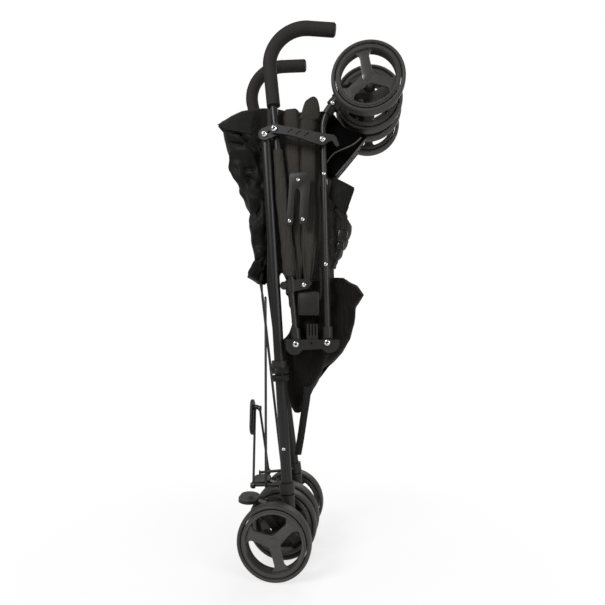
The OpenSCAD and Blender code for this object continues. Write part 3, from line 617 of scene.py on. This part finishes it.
# The seat folds into these two, between the push tube and the front leg
rear_pad = pad("seat_pad_rear", REAR_PAD, seams=(806,), seed=11)
front_pad = pad("seat_pad_front", FRONT_PAD, seams=(760, 872), seed=17, tilt=0.5)
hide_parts("seat_back")
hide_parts("seat_back")


def lining(u, t):
    """Back cloth of the seat, which hangs behind the pads from the canopy to the front legs."""
    x = -30 + 136 * u
    low = 556 + 28 * math.exp(-((x - 2) / 9) ** 2)
    z = low + (936 - 10 * math.sin(3 * u) - low) * t
    at = mm(x, -46 + 22 * ease(u), z)
    fold = math.sin(2 * math.pi * (3.2 * u + 0.5 * t)) * (1 - 0.6 * t)
    return at + mm(0, 3.5 * fold + 3 * wobble(at, 36, 41), 0)


back_cloth = piece("seat_lining", surface(lining, 60, 70), seat_cloth,
                   wall=CLOTH_T * MM, rounds=1)
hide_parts("seat_back")

# Folded tab of seat cloth that stands up at the top of the front pad
TOP_TAB = [(41, 901), (44, 917), (50, 936), (57, 943), (68, 948), (76, 943), (80, 931), (81, 918), (79, 899)]
piece("seat_top_tab", slab(TOP_TAB, -44, -57, 3), seat_cloth, "near_push_frame", smooth=False)

# Gathered seat cloth in front of the front legs
BUNDLE = [  # z, low x, high x, near y, far y
    (598, 99, 113, -26, 26), (620, 97, 121, -40, 42), (638, 96, 131, -44, 44), (660, 96, 144, -46, 46),
    (688, 96, 148, -46, 46), (712, 96, 136, -46, 46), (738, 96, 142, -46, 46), (758, 97, 132, -44, 40),
    (770, 100, 124, -34, 34)]


def gathered(u, t):
    """A bundle with slanting rucks and small creases."""
    z, *ring = between(BUNDLE, t)
    a = 2 * math.pi * u
    c, s = math.cos(a), math.sin(a)
    at = mm(*on_ring(ring, c, s, 0.8, 0.7), z)
    drift = wobble(at, 60, 21)
    ruck = abs(math.sin(math.pi * (7 * t + 2 * u + drift))) ** 0.6
    inward = 7 * (1 - ruck) + 5 * crumple(at, 19, 5, 60, 1.6) + 3 * wobble(at, 26, 2) + 1
    return at - Vector((c, s, 0.2 * c)) * MM * inward


bundle = piece("gathered_seat_cloth", surface(gathered, 60, 44, closed=True, ends=True), seat_cloth,
               rounds=1)
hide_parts("seat_bundle")

# Basket: a slack mesh bag
BAG = [  # z, low x, high x, near y, far y
    (294, 22, 38, -16, 16), (312, 14, 50, -30, 30), (343, 4, 63, -42, 42), (388, -4, 94, -46, 46),
    (418, -6, 124, -50, 46), (448, -4, 141, -52, 46), (480, 12, 149, -52, 46), (515, 8, 155, -50, 46),
    (540, 4, 168, -46, 46), (560, 10, 156, -44, 44), (574, 90, 134, -36, 36)]


def bag_wall(u, t):
    """The wall of the basket, drawn in along slanting pulls."""
    z, *ring = between(BAG, t)
    a = 2 * math.pi * u
    c, s = math.cos(a), math.sin(a)
    at = mm(*on_ring(ring, c, s, 0.75, 0.7), z)
    drift = wobble(at, 90, 31)
    pull = max(0.0, math.sin(2 * math.pi * (2.6 * u + 1.7 * t + 0.5 * drift))) ** 2
    inward = 8 * pull + 3 * crumple(at, 34, 8, 70, 2.2) + 3 * wobble(at, 40, 8) + 1
    return at - Vector((c, s, 0)) * MM * inward


basket = piece("basket_bag", surface(bag_wall, 72, 70, closed=True), basket_mesh,
               wall=1.2 * MM, rounds=1)
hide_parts("basket")

# Calf panel: a sling with side gussets between the front legs
CALF_Y = 54.4
GUSSET = [(90, 800), (98, 786), (114, 780), (176, 853), (178, 863), (150, 871), (130, 881), (114, 907),
          (106, 917), (92, 915)]
PIPING = {"seam": [(95, 808), (104, 820), (115, 829), (139, 838), (153, 845), (166, 856)],
          "edge": [(114, 780.5), (145, 816), (175.5, 852.5)]}
SOCKET_Z, SOCKET_Y = 893, 46  # above this height the sling draws in between the caster sockets


def calf_lean(at):
    """The far side hangs a little higher and further back than the near one."""
    return at + mm(-17, 0, 13) * (at.y / MM + CALF_Y) / (2 * CALF_Y)


def calf_sling():
    """A closed sling between the front legs, slack in the middle."""
    bm = bmesh.new()
    prism(bm, GUSSET, -CALF_Y, CALF_Y)
    round_edges(bm, bm.edges, 3, segments=2)
    bmesh.ops.triangulate(bm, faces=bm.faces)
    wide = [e for e in bm.edges if e.calc_length() > 12 * MM]
    bmesh.ops.subdivide_edges(bm, edges=wide, cuts=5, use_grid_fill=True)
    for v in bm.verts:
        v.co = calf_lean(v.co)
        if v.co.z > SOCKET_Z * MM:
            v.co.y = max(-SOCKET_Y * MM, min(SOCKET_Y * MM, v.co.y))
        sag = max(0.0, 1 - abs(v.co.y) / (52 * MM))
        v.co.y -= math.copysign(2.5 * MM, v.co.y) * (0.5 + 0.5 * wobble(v.co, 40, 4))
        v.co.z -= 3 * MM * sag * (0.5 + 0.5 * wobble(v.co, 35, 14))
    return bm


# The sling takes the near-black cloth colour, which holds painted shade
calf = piece("calf_sling", calf_sling(), calf_cloth_painted_shade)
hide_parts("calf_panel")
for side, y in (("near", 1 - CALF_Y), ("far", CALF_Y - 1)):
    for seam, points in PIPING.items():
        path = [calf_lean(mm(x, y, z)) for x, z in points]
        cable(f"{side}_calf_piping_{seam}", path, 1.4, piping_cloth, f"{side}_front_leg")

# Sleeves of seat cloth on the push tubes, and the forked plates that carry the canopy on them
FRAME_Y = 65                     # middle of a side frame
ROD_BOLT = mm(36.11, 0, 439.27)  # where a push frame meets its knuckle; the far frame leans about it
FAR_LEAN = 7
SLEEVE_LOW, SLEEVE_L, SLEEVE_R = 574, 260, 9.3
YOKE = [(15, 679), (17, 702), (20.5, 745), (21.5, 772), (24, 780), (30, 783), (57, 783), (63, 780),
        (65, 772), (63, 745), (59, 702), (57, 681), (54, 677), (45, 677), (42.5, 681), (42.5, 702),
        (44, 735), (42, 746), (38.5, 749), (35, 746), (32.5, 735), (30.5, 702), (29.5, 681), (27, 676),
        (18, 675)]


def to_far(bm):
    """Moves a near-side shape to the far push frame: mirrored, and leaning with it."""
    bmesh.ops.scale(bm, vec=(1, -1, 1), verts=bm.verts)
    bmesh.ops.reverse_faces(bm, faces=bm.faces)
    leaned = Matrix.Rotation(math.radians(-FAR_LEAN), 3, "Y")
    bmesh.ops.rotate(bm, cent=ROD_BOLT, matrix=leaned, verts=bm.verts)


def push_tube_x(z):
    """x of the near push tube's middle line, which slants from its bolt in the side link."""
    return -7.5 + 0.1007 * (872 - z)


def sleeve(u, t):
    """Seat cloth gathered round the near push tube, from the seat bracket up past the yoke."""
    z = SLEEVE_LOW + SLEEVE_L * t
    a = 2 * math.pi * u
    out = Vector((math.cos(a), math.sin(a), 0))
    at = mm(push_tube_x(z), -FRAME_Y, z) + out * SLEEVE_R * MM
    slack = ramp(t / 0.05) * ramp((1 - t) / 0.4)
    pleat = abs(math.sin(math.pi * (4 * u + 0.8 * wobble(at, 70, 51)))) ** 0.6
    crush = 1.4 * (1 - crumple(at, 26, 33, 70, 2.2)) + wobble(at, 34, 13)
    return at + out * MM * slack * (2.8 * pleat + crush)


for side in ("near", "far"):
    bm = surface(sleeve, 40, 72, closed=True)
    if side == "far":
        to_far(bm)
    wrap = piece(f"{side}_seat_sleeve", bm, seat_cloth, f"{side}_push_frame", wall=1.0 * MM)

for side in ("near", "far"):
    plate = slab(YOKE, -73.4, -77.4)
    heads = bmesh.new()
    for x, z in ((40, 768), (22.5, 685), (49.5, 687.5)):
        screw(heads, x, -77.3, z, 3.8, 2.2)
    if side == "far":
        to_far(plate)
        to_far(heads)
    piece(f"{side}_canopy_yoke", plate, nylon, f"{side}_push_frame", smooth=False)
    piece(f"{side}_yoke_screws", heads, zinc, f"{side}_push_frame")

# Slide that gathers the seat cloth above the knuckle
bm = bmesh.new()
block(bm, (59, -62, 520), (46, 12, 50), round_by=5)
block(bm, (59, -68.5, 520), (35, 3, 39), round_by=1.4)
piece("seat_slide", bm, nylon, "near_push_frame")
strap("seat_web_loop", [(84, -64, 592), (86, -67, 570), (86, -67.5, 548), (82, -65, 527)], 7, (1, 0, 0))

# Basket straps round the rear leg, with a snap, and the strap that hangs from the basket
LEG_SLANT = 0.0638
BAND_R, BAND_W = 16.4, 11.5


def leg_band(low, x):
    """A band round the near rear leg, square to its slant."""

    def band(u, t):
        a = 2 * math.pi * u
        c, s = math.cos(a), math.sin(a)
        return mm(x + BAND_R * c, -FRAME_Y + BAND_R * s, low + BAND_W * t + BAND_R * LEG_SLANT * c)

    return surface(band, 40, 2, closed=True)


for place, low, x in (("upper", 381, 1.6), ("lower", 366, 2.6)):
    piece(f"basket_leg_strap_{place}", leg_band(low, x), webbing, "near_rear_leg",
          wall=1.5 * MM)
bm = bmesh.new()
screw(bm, -3, -81, 387, 4.2, 1.6)
piece("basket_strap_snap", bm, acetal, "near_rear_leg")
strap("basket_tail_strap", [(54, -42, 352), (52, -40, 328), (45, -30, 290), (37, -18, 245), (29, -8, 206)],
      15, (1, 0.3, 0))

# Harness buckle and straps on the gathered cloth
bm = bmesh.new()
block(bm, (127, -50.5, 656), (21, 8, 24), round_by=2.5, turn=12)
block(bm, (122.5, -51, 636), (14, 6, 15), round_by=2, turn=12)
piece("harness_buckle", bm, acetal, "near_push_frame")
strap("harness_strap_up", [(126, -50, 664), (131, -50.5, 682), (126, -50, 698), (113, -49, 712)],
      14, (1, 0, 0.2))
strap("harness_strap_down", [(121, -50, 632), (117, -50.5, 616), (110, -49, 604), (104, -47, 592)],
      12, (0.7, 0, 0.7))

# Stiff corner of the folded footrest flap
FOOTREST_FLAP = [(107, 776), (113, 777), (147, 758), (151, 753), (149, 744), (134, 704), (129, 702),
                 (99, 737), (100, 745)]
piece("footrest_flap", slab(FOOTREST_FLAP, -47.5, -51, 1.4), canopy_cloth, "near_push_frame",
      smooth=False)

# Canopy bows: two thin rods that the hood hangs on
for side, y in (("near", -28), ("far", 28)):
    bow = [mm(-38, y, 606), mm(-38, y, 700), mm(-40, y, 800), mm(-54, y, 884)]
    cable(f"{side}_canopy_bow", bow, 2.6, coated_tube, f"{side}_push_frame")

# Cloth that spans both side frames belongs to no body; its placement is applied to its mesh
for cloth in (canopy, canopy_flap, rear_pad, front_pad, back_cloth, bundle, basket):
    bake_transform(cloth)
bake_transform(calf)

# Floor, backdrop and light
bm = bmesh.new()
bmesh.ops.create_grid(bm, x_segments=1, y_segments=1, size=6)
mesh = bpy.data.meshes.new("floor")
bm.to_mesh(mesh)
bm.free()
floor = bpy.data.objects.new("floor", mesh)
bpy.context.collection.objects.link(floor)
pale, tree, shader, place = blank("pale_floor")
shader.inputs["Base Color"].default_value = colour("#f4f4f4")
shader.inputs["Roughness"].default_value = 0.9
seen = add(tree, "ShaderNodeLightPath")
glow = add(tree, "ShaderNodeEmission", {"Color": (1, 1, 1, 1), "Strength": 1.0})
# The shadow shows near the object, and the floor goes over to plain white further out
rings = add(tree, "ShaderNodeVectorMath", {0: place}, operation="LENGTH")
clear = add(tree, "ShaderNodeMapRange", {"Value": rings.outputs["Value"], "From Min": 0.15, "From Max": 0.6,
                                         "To Min": 0.72, "To Max": 1.0})
share = times(tree, seen.outputs["Is Camera Ray"], clear.outputs["Result"])
shown = add(tree, "ShaderNodeMixShader", {0: share, 1: shader.outputs[0], 2: glow.outputs[0]})
tree.links.new(shown.outputs[0], tree.nodes["Material Output"].inputs["Surface"])
mesh.materials.append(pale)

world = bpy.data.worlds.new("studio")
bpy.context.scene.world = world
world.use_nodes = True
tree = world.node_tree
seen = add(tree, "ShaderNodeLightPath")
direct = add(tree, "ShaderNodeMath",
             {0: seen.outputs["Is Camera Ray"], 1: seen.outputs["Is Transmission Ray"]}, operation="MAXIMUM")
level = add(tree, "ShaderNodeMapRange", {"Value": direct.outputs[0], "To Min": 0.27, "To Max": 1.0})
tree.nodes["Background"].inputs["Color"].default_value = (1, 1, 1, 1)
tree.links.new(level.outputs["Result"], tree.nodes["Background"].inputs["Strength"])

for name, at, size, power in (("key", (-1.1, -1.7, 2.0), 0.9, 44), ("fill", (1.7, -1.2, 1.1), 1.0, 18),
                              ("back", (0.3, 1.7, 1.8), 1.4, 24)):
    data = bpy.data.lights.new(name, "AREA")
    data.size = size
    data.energy = power
    lamp = bpy.data.objects.new(name, data)
    bpy.context.collection.objects.link(lamp)
    lamp.location = at
    lamp.rotation_euler = (Vector((0, 0, 0.55)) - Vector(at)).to_track_quat("-Z", "Y").to_euler()
